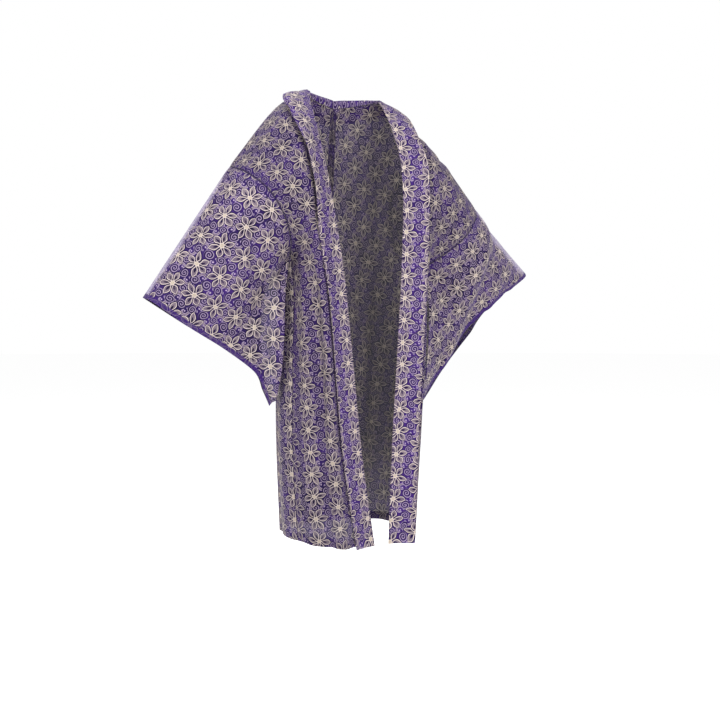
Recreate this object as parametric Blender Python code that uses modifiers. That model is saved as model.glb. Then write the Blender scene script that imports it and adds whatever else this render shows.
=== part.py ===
"""Haori jacket, held in the hollow form it has when it is worn open.

Frame: metres, +Z up, the front of the garment faces -Y, the wearer's right is -X.
The origin is where the wearer's shoulders hold the garment: midway between the
two neck points, at the height of the shoulder line.

Each body panel is one length of cloth that runs from the front hem over the
shoulder to the back hem. Gussets join front and back at the sides, a folded
sleeve is sewn to each dropped shoulder seam, and one long collar band goes
round the neck and down both front edges.
"""
import math

import bmesh
import bpy
from mathutils import Vector

# ---- driving dimensions (metres) ----
WALL = 0.0014               # thickness of the cloth wall
SEAM_GAP = 0.0009           # between the middles of two cloth edges at a seam
COLLAR_WIDTH = 0.060        # visible width of the folded collar band
COLLAR_REACH = 0.012        # how far the collar's fold stands past the panel's front edge
COLLAR_LIFT = 0.0035        # collar band above the front panel
COLLAR_OVERHANG = 0.007     # the band ends this far below the front hem

# ---- resolution of the lofts ----
ARMHOLE_STEPS = 10          # rows from the shoulder line down to the underarm
SIDE_STEPS = 14             # rows from the underarm down to the hem
PANEL_STEPS = 14            # columns across a body panel
FURI_STEPS = 5              # ring steps of a sleeve below the armhole, on each layer
SLEEVE_STEPS = 10           # rings from the armhole to the cuff
COLLAR_STEPS = 5            # columns across the collar band

# ---- front and back of the body panels ----
# One row for each section across a panel: the inner edge (collar seam or centre
# back), a point halfway, and the outer edge (sleeve seam, then side seam).
# "out" is the distance from the middle of the body towards that panel's own side.
COLUMNS = ("in_out", "in_y", "in_z", "mid_out", "mid_y", "mid_z", "edge_out", "edge_y", "edge_z")

RIGHT_FRONT_TOP = (
    (0.102, 0.040, 0.000, 0.182, 0.030, -0.045, 0.290, 0.030, -0.182),
    (0.120, 0.002, -0.030, 0.196, -0.030, -0.085, 0.278, -0.030, -0.202),
    (0.129, -0.040, -0.080, 0.190, -0.078, -0.148, 0.247, -0.068, -0.238),
    (0.124, -0.066, -0.150, 0.176, -0.094, -0.210, 0.214, -0.074, -0.285),
    (0.114, -0.076, -0.220, 0.160, -0.096, -0.270, 0.184, -0.050, -0.335),
    (0.103, -0.082, -0.300, 0.148, -0.092, -0.325, 0.166, -0.008, -0.375),
)
RIGHT_FRONT_SIDE = (
    (0.103, -0.082, -0.300, 0.148, -0.092, -0.325, 0.166, -0.008, -0.375),
    (0.083, -0.083, -0.430, 0.134, -0.092, -0.440, 0.160, -0.010, -0.460),
    (0.064, -0.083, -0.600, 0.126, -0.091, -0.600, 0.164, -0.012, -0.605),
    (0.040, -0.080, -0.800, 0.116, -0.092, -0.800, 0.166, -0.018, -0.795),
    (0.008, -0.078, -0.994, 0.098, -0.098, -0.991, 0.156, -0.022, -0.982),
)
LEFT_FRONT_TOP = (
    (0.090, 0.040, 0.000, 0.180, 0.030, -0.072, 0.330, 0.030, -0.218),
    (0.084, 0.000, -0.032, 0.192, -0.030, -0.112, 0.318, -0.030, -0.240),
    (0.080, -0.042, -0.084, 0.186, -0.076, -0.166, 0.288, -0.066, -0.276),
    (0.086, -0.066, -0.150, 0.168, -0.092, -0.225, 0.250, -0.074, -0.318),
    (0.088, -0.076, -0.220, 0.152, -0.094, -0.280, 0.208, -0.048, -0.358),
    (0.086, -0.082, -0.300, 0.142, -0.092, -0.335, 0.172, -0.006, -0.390),
)
LEFT_FRONT_SIDE = (
    (0.086, -0.082, -0.300, 0.142, -0.092, -0.335, 0.172, -0.006, -0.390),
    (0.081, -0.083, -0.430, 0.134, -0.090, -0.440, 0.163, -0.010, -0.470),
    (0.070, -0.083, -0.600, 0.126, -0.090, -0.600, 0.160, -0.012, -0.605),
    (0.059, -0.080, -0.800, 0.112, -0.088, -0.800, 0.150, -0.016, -0.798),
    (0.053, -0.078, -0.994, 0.098, -0.092, -0.992, 0.134, -0.022, -0.988),
)
RIGHT_BACK_TOP = (
    (0.102, 0.040, 0.000, 0.182, 0.030, -0.045, 0.290, 0.030, -0.182),
    (0.086, 0.070, 0.002, 0.180, 0.072, -0.062, 0.280, 0.080, -0.202),
    (0.045, 0.092, -0.004, 0.168, 0.104, -0.108, 0.257, 0.112, -0.238),
    (0.000, 0.100, -0.012, 0.150, 0.122, -0.168, 0.226, 0.116, -0.285),
    (0.000, 0.112, -0.120, 0.136, 0.130, -0.240, 0.192, 0.092, -0.335),
    (0.000, 0.126, -0.250, 0.126, 0.132, -0.310, 0.170, 0.044, -0.375),
)
RIGHT_BACK_SIDE = (
    (0.000, 0.126, -0.250, 0.126, 0.132, -0.310, 0.170, 0.044, -0.375),
    (0.000, 0.138, -0.420, 0.114, 0.130, -0.440, 0.164, 0.044, -0.460),
    (0.000, 0.146, -0.600, 0.112, 0.132, -0.600, 0.168, 0.046, -0.605),
    (0.000, 0.150, -0.800, 0.108, 0.134, -0.800, 0.167, 0.050, -0.795),
    (0.000, 0.154, -0.988, 0.102, 0.138, -0.986, 0.154, 0.056, -0.980),
)
LEFT_BACK_TOP = (
    (0.090, 0.040, 0.000, 0.180, 0.030, -0.072, 0.330, 0.030, -0.218),
    (0.078, 0.070, 0.002, 0.182, 0.074, -0.086, 0.320, 0.082, -0.240),
    (0.043, 0.092, -0.004, 0.172, 0.106, -0.128, 0.296, 0.114, -0.276),
    (0.000, 0.100, -0.012, 0.154, 0.124, -0.185, 0.256, 0.118, -0.318),
    (0.000, 0.112, -0.120, 0.140, 0.130, -0.250, 0.214, 0.094, -0.358),
    (0.000, 0.126, -0.250, 0.130, 0.132, -0.320, 0.176, 0.046, -0.390),
)
LEFT_BACK_SIDE = (
    (0.000, 0.126, -0.250, 0.130, 0.132, -0.320, 0.176, 0.046, -0.390),
    (0.000, 0.138, -0.420, 0.118, 0.130, -0.440, 0.169, 0.045, -0.470),
    (0.000, 0.146, -0.600, 0.112, 0.132, -0.600, 0.164, 0.046, -0.605),
    (0.000, 0.150, -0.800, 0.104, 0.134, -0.800, 0.153, 0.050, -0.798),
    (0.000, 0.154, -0.988, 0.094, 0.138, -0.988, 0.134, 0.056, -0.986),
)

# ---- soft upright folds of the body panels ----
# where across the panel, half width there, height of the ridge (valley when negative)
FRONT_FOLDS = ((0.42, 0.085, 0.009), (0.58, 0.075, -0.009), (0.80, 0.085, 0.007))
BACK_FOLDS = ((0.22, 0.09, -0.007), (0.42, 0.09, 0.008), (0.62, 0.09, -0.009), (0.80, 0.08, 0.008))
FOLD_START = 0.22           # distance below the neck where folds begin
FOLD_FULL = 0.60            # distance below the neck where they have their full height

# ---- sleeves ----
# One row for each level down the sleeve, on its body side below the armhole and
# along the cuff edge: front layer and back layer, again with "out" to its own side.
FURI_COLUMNS = ("front_out", "front_y", "back_out", "back_y", "front_z", "back_z")
RIGHT_FURI = (
    (0.166, -0.008, 0.170, 0.044, -0.375, -0.375),
    (0.181, -0.022, 0.186, 0.078, -0.450, -0.440),
    (0.184, -0.022, 0.187, 0.100, -0.540, -0.530),
    (0.186, -0.012, 0.187, 0.080, -0.620, -0.610),
    (0.188, 0.016, 0.188, 0.036, -0.684, -0.684),
)
LEFT_FURI = (
    (0.172, -0.006, 0.176, 0.046, -0.390, -0.390),
    (0.188, -0.018, 0.190, 0.080, -0.460, -0.450),
    (0.190, -0.016, 0.190, 0.102, -0.545, -0.535),
    (0.190, -0.006, 0.190, 0.084, -0.625, -0.615),
    (0.190, 0.020, 0.190, 0.042, -0.682, -0.682),
)
CUFF_COLUMNS = ("level", "front_out", "front_y", "front_z", "back_out", "back_y", "back_z")
RIGHT_CUFF = (
    (0.00, 0.472, 0.046, -0.464, 0.472, 0.046, -0.464),
    (0.05, 0.462, 0.012, -0.474, 0.448, 0.078, -0.472),
    (0.25, 0.394, 0.000, -0.522, 0.374, 0.076, -0.518),
    (0.47, 0.308, 0.006, -0.572, 0.294, 0.060, -0.568),
    (0.70, 0.234, 0.022, -0.622, 0.226, 0.048, -0.620),
    (0.85, 0.212, 0.030, -0.660, 0.204, 0.052, -0.662),
    (1.00, 0.192, 0.042, -0.696, 0.192, 0.042, -0.696),
)
LEFT_CUFF = (
    (0.00, 0.566, 0.076, -0.382, 0.566, 0.076, -0.382),
    (0.05, 0.530, 0.044, -0.398, 0.554, 0.096, -0.400),
    (0.25, 0.430, 0.026, -0.456, 0.466, 0.096, -0.464),
    (0.47, 0.342, 0.028, -0.532, 0.374, 0.088, -0.544),
    (0.70, 0.276, 0.034, -0.612, 0.304, 0.076, -0.624),
    (0.85, 0.240, 0.042, -0.658, 0.262, 0.070, -0.668),
    (1.00, 0.222, 0.052, -0.700, 0.222, 0.052, -0.700),
)
ARMHOLE_SHARE = 0.47        # share of a sleeve's depth that is sewn to the body
UNDERARM_CLEAR = 0.0020      # further gap to the side of the body below the armhole
SLEEVE_BELLY = 0.012        # each layer bulges this far between armhole and cuff
# Folds of a sleeve's layers: share of the way from armhole to cuff at the arm line,
# how much further out for each unit of depth, half width, height (valley negative).
RIGHT_SLEEVE_FOLDS = ((0.26, 0.25, 0.13, -0.006), (0.58, 0.10, 0.13, 0.006))
LEFT_SLEEVE_FOLDS = ((0.02, 1.20, 0.11, 0.010), (0.26, 1.20, 0.13, -0.016))
FOLD_FREE = 0.22            # share of the sleeve next to the armhole where folds grow

# ---- collar ----
# Round the nape, from one neck point to the other: the angle seen from above
# (0 is straight back) is worked out in nape_section.
NAPE_ROW = 3                # row of the back tables at the middle of the nape, a corner
NAPE_STEPS = 6              # panel rows from a neck point to the middle of the nape
NECK_MIDDLE_Y = 0.02        # the band spreads away from this point of the middle plane
SEAM_RISE = 0.0013          # the collar's seam edge above the neckline
SEAM_ASIDE = 0.0013         # and this far inside it
# At the neck points and at the middle of the nape: the height of the collar's fold
# above the neckline, how far out the band reaches, and how high its edge ends.
NECK_FORM = {"rise": 0.008, "spread": 0.052, "end": -0.018}
NAPE_FORM = {"rise": 0.020, "spread": 0.036, "end": -0.030}
HOLLOW_LIFT = 0.016         # the band stands off the chest this much more near the top
HOLLOW_END = 0.36           # and lies flat from this far down

CLOTH_COLOUR = (0.105, 0.050, 0.300, 1.0)
COLLAR_COLOUR = (0.125, 0.065, 0.340, 1.0)
GUSSET_COLOUR = (0.090, 0.045, 0.270, 1.0)
CLOTH_ROUGHNESS = 0.75


def clear_scene():
    for item in list(bpy.data.objects):
        bpy.data.objects.remove(item, do_unlink=True)


def make_material(name, colour):
    material = bpy.data.materials.new(name)
    material.use_nodes = True
    shader = material.node_tree.nodes["Principled BSDF"]
    shader.inputs["Base Color"].default_value = colour
    shader.inputs["Roughness"].default_value = CLOTH_ROUGHNESS
    shader.inputs["Metallic"].default_value = 0.0
    return material


def curve_at(points, position):
    """Point at position 0..1 on a smooth curve through evenly counted points."""
    spans = len(points) - 1
    scaled = min(max(position, 0.0), 1.0) * spans
    index = min(int(scaled), spans - 1)
    f = scaled - index
    p1 = points[index]
    p2 = points[index + 1]
    p0 = points[index - 1] if index > 0 else p1 * 2 - p2
    p3 = points[index + 2] if index + 2 <= spans else p2 * 2 - p1
    ease = (p2 - p0) * 0.5
    leave = (p3 - p1) * 0.5
    return (p1 * (2 * f ** 3 - 3 * f ** 2 + 1) + ease * (f ** 3 - 2 * f ** 2 + f)
            + p2 * (3 * f ** 2 - 2 * f ** 3) + leave * (f ** 3 - f ** 2))


def section_points(row, side):
    """The three points of one table row; side is -1 for right and +1 for left."""
    cell = dict(zip(COLUMNS, row))
    return (Vector((cell["in_out"] * side, cell["in_y"], cell["in_z"])),
            Vector((cell["mid_out"] * side, cell["mid_y"], cell["mid_z"])),
            Vector((cell["edge_out"] * side, cell["edge_y"], cell["edge_z"])))


def cornered_curve(points, corner, position):
    """Like curve_at, but the curve may turn sharply at the point numbered corner."""
    scaled = position * (len(points) - 1)
    if scaled <= corner:
        return curve_at(points[:corner + 1], scaled / corner)
    return curve_at(points[corner:], (scaled - corner) / (len(points) - 1 - corner))


def section_rows(table, side, steps, corner=None):
    """Sections interpolated down the table, each one three points across."""
    rows = [section_points(row, side) for row in table]
    inner = [row[0] for row in rows]
    middle = [row[1] for row in rows]
    edge = [row[2] for row in rows]
    sections = []
    for i in range(steps + 1):
        share = i / steps
        edge_point = cornered_curve(inner, corner, share) if corner else curve_at(inner, share)
        sections.append((edge_point, curve_at(middle, share), curve_at(edge, share)))
    return sections


def half_panel(top, side_table, side, corner=None):
    """Sections from the shoulder line down to one hem."""
    upper = section_rows(top, side, ARMHOLE_STEPS, corner)
    lower = section_rows(side_table, side, SIDE_STEPS)
    return upper + lower[1:]


def across(section):
    """Points across one section, evenly counted from inner edge to outer edge."""
    return [curve_at(section, j / PANEL_STEPS) for j in range(PANEL_STEPS + 1)]


def smooth_ramp(value, start, end):
    f = min(max((value - start) / (end - start), 0.0), 1.0)
    return f * f * (3.0 - 2.0 * f)


def bump(offset, half_width):
    return math.exp(-(offset / half_width) ** 2)


def fold_height(share, drop, folds):
    grown = smooth_ramp(drop, FOLD_START, FOLD_FULL)
    return grown * sum(height * bump(share - place, width) for place, width, height in folds)


def add_folds(grid, folds, outward):
    """Moves each point along the outward normal by the folds' height."""
    last_row = len(grid) - 1
    folded = []
    for i, row in enumerate(grid):
        new_row = []
        for j, point in enumerate(row):
            along = grid[min(i + 1, last_row)][j] - grid[max(i - 1, 0)][j]
            over = row[min(j + 1, PANEL_STEPS)] - row[max(j - 1, 0)]
            normal = along.cross(over).normalized() * outward
            height = fold_height(j / PANEL_STEPS, -point.z, folds)
            new_row.append(point + normal * height)
        folded.append(new_row)
    return folded


def body_grids(front_top, front_side, back_top, back_side, side):
    """Front and back halves of one panel, both from the shoulder line down."""
    front = [across(section) for section in half_panel(front_top, front_side, side)]
    back = [across(section) for section in half_panel(back_top, back_side, side, NAPE_ROW)]
    return add_folds(front, FRONT_FOLDS, side), add_folds(back, BACK_FOLDS, -side)


def shifted_to_side(point, side):
    """Keeps a point on its own side of the middle, half a seam gap out."""
    out = max(point.x * side, 0.0) if point.y > 0.0 else point.x * side
    return Vector((side * (out + SEAM_GAP / 2.0), point.y, point.z))


def panel_grid(front, back, side):
    """The whole length: front hem, shoulder line, back hem."""
    rows = list(reversed(front)) + back[1:]
    return [[shifted_to_side(point, side) for point in row] for row in rows]


def gusset_grid(front, back, side, steps=3):
    """Strip between the side edges of front and back, underarm to hem."""
    rows = []
    for i in range(ARMHOLE_STEPS, len(front)):
        start = front[i][-1]
        end = back[i][-1]
        run = end - start
        inset = run.normalized() * SEAM_GAP
        first = start + inset
        last = end - inset
        swell = Vector((side * run.length * 0.10, 0.0, 0.0))
        row = []
        for j in range(steps + 1):
            f = j / steps
            row.append(first.lerp(last, f) + swell * math.sin(math.pi * f))
        rows.append([shifted_to_side(point, side) for point in row])
    return rows


def ring_from_layers(front, back):
    """Closed ring: down the front layer and up the back layer."""
    return front + list(reversed(back[1:-1]))


def armhole_ring(front, back, furi, side):
    """Sleeve ring at the body: the armhole edges, then the open furi edges."""
    front_edge = [front[i][-1] for i in range(ARMHOLE_STEPS + 1)]
    back_edge = [back[i][-1] for i in range(ARMHOLE_STEPS + 1)]
    rows = [dict(zip(FURI_COLUMNS, row)) for row in furi]
    front_low = [Vector((r["front_out"] * side, r["front_y"], r["front_z"])) for r in rows]
    back_low = [Vector((r["back_out"] * side, r["back_y"], r["back_z"])) for r in rows]
    for i in range(1, FURI_STEPS + 1):
        front_edge.append(curve_at(front_low, i / FURI_STEPS))
        back_edge.append(curve_at(back_low, i / FURI_STEPS))
    fold = front_edge[-1].lerp(back_edge[-1], 0.5)
    front_edge.append(fold)
    back_edge.append(fold)
    return front_edge, back_edge


def level_point(rows, level, layer, side):
    """Point of the cuff table at a level between two of its rows."""
    levels = [row["level"] for row in rows]
    index = max(i for i in range(len(levels) - 1) if levels[i] <= level)
    local = (level - levels[index]) / (levels[index + 1] - levels[index])
    points = [Vector((r[layer + "_out"] * side, r[layer + "_y"], r[layer + "_z"])) for r in rows]
    return curve_at(points, (index + min(local, 1.0)) / (len(points) - 1))


def cuff_ring(cuff, side):
    """Sleeve ring at the cuff, with the same count of points as the armhole ring."""
    rows = [dict(zip(CUFF_COLUMNS, row)) for row in cuff]
    count = ARMHOLE_STEPS + FURI_STEPS + 1
    front = []
    back = []
    for i in range(count + 1):
        if i <= ARMHOLE_STEPS:
            level = ARMHOLE_SHARE * i / ARMHOLE_STEPS
        else:
            level = ARMHOLE_SHARE + (1.0 - ARMHOLE_SHARE) * (i - ARMHOLE_STEPS) / (FURI_STEPS + 1)
        front.append(level_point(rows, level, "front", side))
        back.append(level_point(rows, level, "back", side))
    return front, back


def sleeve_fold(f, depth_share, folds):
    grown = smooth_ramp(f, 0.0, FOLD_FREE) * math.sin(math.pi * depth_share)
    total = 0.0
    for start, slope, half_width, height in folds:
        total += height * bump(f - start - slope * depth_share, half_width)
    return grown * total


def sleeve_grid(front, back, furi, cuff, folds, side):
    """Rings from the armhole to the cuff, each a closed loop of points."""
    body_front, body_back = armhole_ring(front, back, furi, side)
    cuff_front, cuff_back = cuff_ring(cuff, side)
    start = ring_from_layers(body_front, body_back)
    end = ring_from_layers(cuff_front, cuff_back)
    layer_count = len(body_front)
    rings = []
    for k in range(SLEEVE_STEPS + 1):
        f = k / SLEEVE_STEPS
        ring = []
        for index, (near, far) in enumerate(zip(start, end)):
            on_front = index < layer_count
            depth = index if on_front else 2 * (layer_count - 1) - index
            first = near + (far - near).normalized() * SEAM_GAP
            if depth >= ARMHOLE_STEPS:
                first.x += side * UNDERARM_CLEAR
            point = first.lerp(far, f)
            depth_share = depth / (layer_count - 1)
            rise = SLEEVE_BELLY * math.sin(math.pi * depth_share) * math.sin(math.pi * f)
            rise += sleeve_fold(f, depth_share, folds)
            point = point + Vector((0.0, -rise if on_front else rise, 0.0))
            ring.append(shifted_to_side(point, side))
        rings.append(ring)
    return rings


def point_along(row, distance):
    """Point and direction at a distance from the inner edge of a panel row."""
    left = distance
    for a, b in zip(row, row[1:]):
        length = (b - a).length
        if left <= length:
            return a.lerp(b, left / length)
        left -= length
    return row[-1]


def front_collar_section(grid, i, side):
    """Collar section over one row of a front panel, from its seam to its outer edge."""
    row = grid[i]
    above = grid[max(i - 1, 0)][0]
    below = grid[min(i + 1, len(grid) - 1)][0]
    run = (row[1] - row[0]).normalized()
    seam = (above - below).normalized()
    slant = max(run.cross(seam).length, 0.6)
    normal = seam.cross(run).normalized() * -side
    if normal.y > 0.0 and row[0].z < -0.05:
        normal = -normal
    edge = row[0]
    drop = -edge.z
    hollow = HOLLOW_LIFT * (1.0 - smooth_ramp(drop, 0.0, HOLLOW_END))
    section = [edge - run * SEAM_ASIDE + normal * SEAM_RISE * 0.4,
               edge - run * COLLAR_REACH * 0.8 + normal * SEAM_RISE * 0.6]
    for j in range(COLLAR_STEPS + 1):
        f = j / COLLAR_STEPS
        reach = COLLAR_WIDTH * f - COLLAR_REACH
        if reach < 0.0:
            base = edge + run * reach
        else:
            base = point_along(row, reach / slant)
        lift = COLLAR_LIFT * (0.6 + 0.4 * f) + hollow * math.sin(0.5 * math.pi * f)
        section.append(base + normal * lift)
    if i == len(grid) - 1:
        overhang = (edge - above).normalized() * COLLAR_OVERHANG
        section = [point + overhang for point in section]
    return section


def nape_section(edge, share):
    """Collar section round the back of the neck, from its seam to its outer edge."""
    away = Vector((edge.x, edge.y - NECK_MIDDLE_Y, 0.0)).normalized()
    up = Vector((0.0, 0.0, 1.0))
    blend = smooth_ramp(share, 0.0, 1.0)
    form = {key: NECK_FORM[key] + (NAPE_FORM[key] - NECK_FORM[key]) * blend for key in NECK_FORM}
    section = [edge + up * SEAM_RISE - away * SEAM_ASIDE,
               edge + up * form["rise"] * 0.6 - away * 0.004]
    for j in range(COLLAR_STEPS + 1):
        g = j / COLLAR_STEPS
        height = form["rise"] + (form["end"] - form["rise"]) * g ** 1.8
        section.append(edge + away * (form["spread"] * g - 0.002) + up * height)
    return section


def build_surface(name, grid, closed, material, collection):
    """Open surface over a grid of points, given its thickness by Solidify."""
    mesh = bpy.data.meshes.new(name)
    form = bmesh.new()
    rows = [[form.verts.new(point) for point in row] for row in grid]
    width = len(rows[0])
    spans = width if closed else width - 1
    for upper, lower in zip(rows, rows[1:]):
        for j in range(spans):
            k = (j + 1) % width
            form.faces.new((upper[j], upper[k], lower[k], lower[j]))
    bmesh.ops.recalc_face_normals(form, faces=form.faces)
    form.to_mesh(mesh)
    form.free()
    mesh.materials.append(material)
    mesh.shade_smooth()
    piece = bpy.data.objects.new(name, mesh)
    collection.objects.link(piece)
    wall = piece.modifiers.new("Wall", "SOLIDIFY")
    wall.thickness = WALL
    wall.offset = 0.0
    wall.use_even_offset = True
    return piece


def build():
    clear_scene()
    collection = bpy.data.collections.new("Haori")
    bpy.context.scene.collection.children.link(collection)
    cloth = make_material("cloth", CLOTH_COLOUR)
    gusset_cloth = make_material("gusset_cloth", GUSSET_COLOUR)
    collar_cloth = make_material("collar_cloth", COLLAR_COLOUR)

    sides = (
        ("right", -1, RIGHT_FRONT_TOP, RIGHT_FRONT_SIDE, RIGHT_BACK_TOP, RIGHT_BACK_SIDE,
         RIGHT_FURI, RIGHT_CUFF, RIGHT_SLEEVE_FOLDS),
        ("left", 1, LEFT_FRONT_TOP, LEFT_FRONT_SIDE, LEFT_BACK_TOP, LEFT_BACK_SIDE,
         LEFT_FURI, LEFT_CUFF, LEFT_SLEEVE_FOLDS),
    )
    collar_rows = {}
    for name, side, front_top, front_side, back_top, back_side, furi, cuff, folds in sides:
        front, back = body_grids(front_top, front_side, back_top, back_side, side)
        build_surface("body_" + name, panel_grid(front, back, side), False, cloth, collection)
        build_surface("gusset_" + name, gusset_grid(front, back, side), False, gusset_cloth, collection)
        sleeve = sleeve_grid(front, back, furi, cuff, folds, side)
        build_surface("sleeve_" + name, sleeve, True, cloth, collection)
        front_shifted = [[shifted_to_side(point, side) for point in row] for row in front]
        chest = [front_collar_section(front_shifted, i, side) for i in range(1, len(front))]
        nape = [nape_section(back[i][0], i / NAPE_STEPS) for i in range(NAPE_STEPS + 1)]
        collar_rows[name] = (chest, nape)

    right_chest, right_nape = collar_rows["right"]
    left_chest, left_nape = collar_rows["left"]
    collar = list(reversed(right_chest)) + right_nape + list(reversed(left_nape))[1:] + left_chest
    build_surface("collar", collar, False, collar_cloth, collection)


build()
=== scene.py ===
"""Looks of the haori jacket: seven pieces of sheer patterned cloth on their CAD solids.

Each shell is lofted through the same tables as its solid, more finely, and then gets
its creases, seams and hems. Metres, +Z up, the front faces -Y, the wearer's right is -X.
"""
import math
from functools import partialmethod

import bmesh
import bpy
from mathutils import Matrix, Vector


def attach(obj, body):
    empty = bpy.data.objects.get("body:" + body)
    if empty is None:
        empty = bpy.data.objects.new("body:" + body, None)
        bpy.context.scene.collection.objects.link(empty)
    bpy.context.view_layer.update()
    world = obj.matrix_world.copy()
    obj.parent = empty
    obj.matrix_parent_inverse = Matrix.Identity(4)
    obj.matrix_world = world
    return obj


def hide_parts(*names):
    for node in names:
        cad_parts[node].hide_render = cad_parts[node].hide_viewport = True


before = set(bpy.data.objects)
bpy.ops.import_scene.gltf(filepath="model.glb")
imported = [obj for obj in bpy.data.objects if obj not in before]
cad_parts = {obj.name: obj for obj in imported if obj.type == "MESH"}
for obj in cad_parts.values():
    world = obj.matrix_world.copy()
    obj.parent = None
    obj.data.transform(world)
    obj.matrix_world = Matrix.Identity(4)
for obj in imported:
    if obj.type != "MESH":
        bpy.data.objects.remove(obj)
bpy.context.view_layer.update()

# ---- driving dimensions, as in the part's source (metres) ----
SEAM_GAP = 0.0001  # the shells all but meet at a seam
COLLAR_WIDTH = 0.060  # visible width of the folded collar band
COLLAR_REACH = 0.012  # how far the collar's fold stands past the panel's front edge
COLLAR_LIFT = 0.0035  # collar band above the front panel
COLLAR_OVERHANG = 0.007  # the band ends this far below the front hem

# ---- resolution of the shells: steps of the solids' lofts times FINE ----
FINE = 4
ARMHOLE_STEPS = 10 * FINE  # rows from the shoulder line down to the underarm
SIDE_STEPS = 16 * FINE  # rows from the underarm down to the hem
PANEL_STEPS = 14 * FINE  # columns across a body panel
FURI_STEPS = 6 * FINE - 1  # ring steps of a sleeve below the armhole, on each layer
SLEEVE_STEPS = 14 * FINE  # rings from the armhole to the cuff
COLLAR_STEPS = 6 * FINE - 2  # columns across the collar band
GUSSET_STEPS = 4 * FINE  # columns across a gusset
NAPE_STEPS = 6 * FINE  # panel rows from a neck point to the middle of the nape
HEM_ROWS = 3 * FINE  # rows that a turned edge is laid back over
ALLOWANCE_COLUMNS = 2 * FINE + 2  # columns that an allowance is laid back over

# ---- front and back of the body panels ----
# One row for each section across a panel: "out", y and z of the inner edge (collar seam
# or centre back), of a point halfway, and of the outer edge (sleeve seam, then side seam).
# "out" is the distance from the middle of the body towards that panel's own side.
UNDERARM_ROW = 5  # the row at the underarm, where the sleeve seam ends
RIGHT_FRONT = (
    (0.102, 0.040, 0.000, 0.182, 0.030, -0.045, 0.290, 0.030, -0.182),
    (0.120, 0.002, -0.030, 0.196, -0.030, -0.085, 0.278, -0.030, -0.202),
    (0.129, -0.040, -0.080, 0.190, -0.078, -0.148, 0.247, -0.068, -0.238),
    (0.124, -0.066, -0.150, 0.176, -0.094, -0.210, 0.214, -0.074, -0.285),
    (0.114, -0.076, -0.220, 0.160, -0.096, -0.270, 0.184, -0.050, -0.335),
    (0.103, -0.082, -0.300, 0.148, -0.092, -0.325, 0.166, -0.008, -0.375),
    (0.083, -0.083, -0.430, 0.134, -0.092, -0.440, 0.160, -0.010, -0.460),
    (0.064, -0.083, -0.600, 0.126, -0.091, -0.600, 0.164, -0.012, -0.605),
    (0.040, -0.080, -0.800, 0.116, -0.092, -0.800, 0.166, -0.018, -0.795),
    (0.008, -0.078, -0.994, 0.098, -0.098, -0.991, 0.156, -0.022, -0.982),
)
LEFT_FRONT = (
    (0.090, 0.040, 0.000, 0.180, 0.030, -0.072, 0.330, 0.030, -0.218),
    (0.084, 0.000, -0.032, 0.192, -0.030, -0.112, 0.318, -0.030, -0.240),
    (0.080, -0.042, -0.084, 0.186, -0.076, -0.166, 0.288, -0.066, -0.276),
    (0.086, -0.066, -0.150, 0.168, -0.092, -0.225, 0.250, -0.074, -0.318),
    (0.088, -0.076, -0.220, 0.152, -0.094, -0.280, 0.208, -0.048, -0.358),
    (0.086, -0.082, -0.300, 0.142, -0.092, -0.335, 0.172, -0.006, -0.390),
    (0.081, -0.083, -0.430, 0.134, -0.090, -0.440, 0.163, -0.010, -0.470),
    (0.070, -0.083, -0.600, 0.126, -0.090, -0.600, 0.160, -0.012, -0.605),
    (0.059, -0.080, -0.800, 0.112, -0.088, -0.800, 0.150, -0.016, -0.798),
    (0.053, -0.078, -0.994, 0.098, -0.092, -0.992, 0.134, -0.022, -0.988),
)
RIGHT_BACK = (
    (0.102, 0.040, 0.000, 0.182, 0.030, -0.045, 0.290, 0.030, -0.182),
    (0.086, 0.070, 0.002, 0.180, 0.072, -0.062, 0.280, 0.080, -0.202),
    (0.045, 0.092, -0.004, 0.168, 0.104, -0.108, 0.257, 0.112, -0.238),
    (0.000, 0.100, -0.012, 0.150, 0.122, -0.168, 0.226, 0.116, -0.285),
    (0.000, 0.112, -0.120, 0.136, 0.130, -0.240, 0.192, 0.092, -0.335),
    (0.000, 0.126, -0.250, 0.126, 0.132, -0.310, 0.170, 0.044, -0.375),
    (0.000, 0.138, -0.420, 0.114, 0.130, -0.440, 0.164, 0.044, -0.460),
    (0.000, 0.146, -0.600, 0.112, 0.132, -0.600, 0.168, 0.046, -0.605),
    (0.000, 0.150, -0.800, 0.108, 0.134, -0.800, 0.167, 0.050, -0.795),
    (0.000, 0.154, -0.988, 0.102, 0.138, -0.986, 0.154, 0.056, -0.980),
)
LEFT_BACK = (
    (0.090, 0.040, 0.000, 0.180, 0.030, -0.072, 0.330, 0.030, -0.218),
    (0.078, 0.070, 0.002, 0.182, 0.074, -0.086, 0.320, 0.082, -0.240),
    (0.043, 0.092, -0.004, 0.172, 0.106, -0.128, 0.296, 0.114, -0.276),
    (0.000, 0.100, -0.012, 0.154, 0.124, -0.185, 0.256, 0.118, -0.318),
    (0.000, 0.112, -0.120, 0.140, 0.130, -0.250, 0.214, 0.094, -0.358),
    (0.000, 0.126, -0.250, 0.130, 0.132, -0.320, 0.176, 0.046, -0.390),
    (0.000, 0.138, -0.420, 0.118, 0.130, -0.440, 0.169, 0.045, -0.470),
    (0.000, 0.146, -0.600, 0.112, 0.132, -0.600, 0.164, 0.046, -0.605),
    (0.000, 0.150, -0.800, 0.104, 0.134, -0.800, 0.153, 0.050, -0.798),
    (0.000, 0.154, -0.988, 0.094, 0.138, -0.988, 0.134, 0.056, -0.986),
)

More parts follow.
